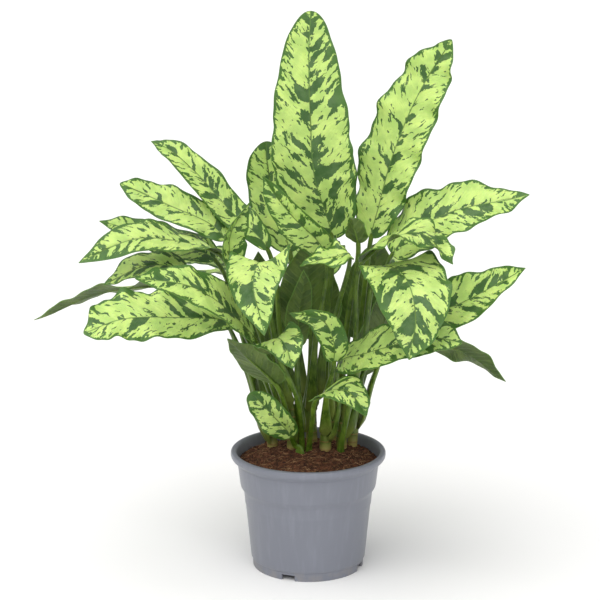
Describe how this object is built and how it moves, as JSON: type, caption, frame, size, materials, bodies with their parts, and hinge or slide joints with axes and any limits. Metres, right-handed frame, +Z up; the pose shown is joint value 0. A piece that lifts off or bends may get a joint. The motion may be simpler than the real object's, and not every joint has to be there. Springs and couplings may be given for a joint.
{
  "type": "potted aglaonema",
  "caption": "Leafy aglaonema house plant with upright and arching variegated leaves on long stalks, rooted in peat in a round tapered nursery pot.",
  "frame": {"origin": "centre of the flat pad under the pot, level with the surface that the pot stands on", "axes": "+Z up along the pot's axis, -Y towards the side that the plant shows, +X to the right of someone looking at that side"},
  "size_m": [0.5335, 0.3887, 0.606],
  "materials": {
    "pot": "satin",
    "soil": "matte",
    "cane": "satin",
    "leaf": "satin"
  },
  "bodies": {
    "root": {"pot": "pot", "soil": "soil", "cane_back": "cane", "cane_back_right": "cane", "cane_front": "cane", "cane_left": "cane", "cane_left_front": "cane", "cane_right": "cane", "cane_right_back": "cane", "leaf_back_left": "leaf", "leaf_back_middle": "leaf", "leaf_back_right": "leaf", "leaf_back_upright": "leaf", "leaf_centre_back": "leaf", "leaf_centre_front": "leaf", "leaf_centre_left": "leaf", "leaf_centre_right": "leaf", "leaf_crown_back": "leaf", "leaf_crown_bud": "leaf", "leaf_crown_narrow": "leaf", "leaf_crown_right": "leaf", "leaf_crown_tall": "leaf", "leaf_front_left": "leaf", "leaf_front_middle": "leaf", "leaf_front_right": "leaf", "leaf_front_small": "leaf", "leaf_left_back_far": "leaf", "leaf_left_back_long": "leaf", "leaf_left_back_upper": "leaf", "leaf_left_front_low": "leaf", "leaf_left_high": "leaf", "leaf_left_long": "leaf", "leaf_left_low": "leaf", "leaf_left_low_turned": "leaf", "leaf_left_under": "leaf", "leaf_left_upper": "leaf", "leaf_middle_flat": "leaf", "leaf_right_arch": "leaf", "leaf_right_back_low": "leaf", "leaf_right_low": "leaf", "leaf_right_middle": "leaf", "leaf_right_turned": "leaf", "leaf_right_upper": "leaf", "leaf_small_left_low": "leaf", "leaf_small_left_upright": "leaf", "leaf_small_right_low": "leaf"}
  },
  "joints": []
}
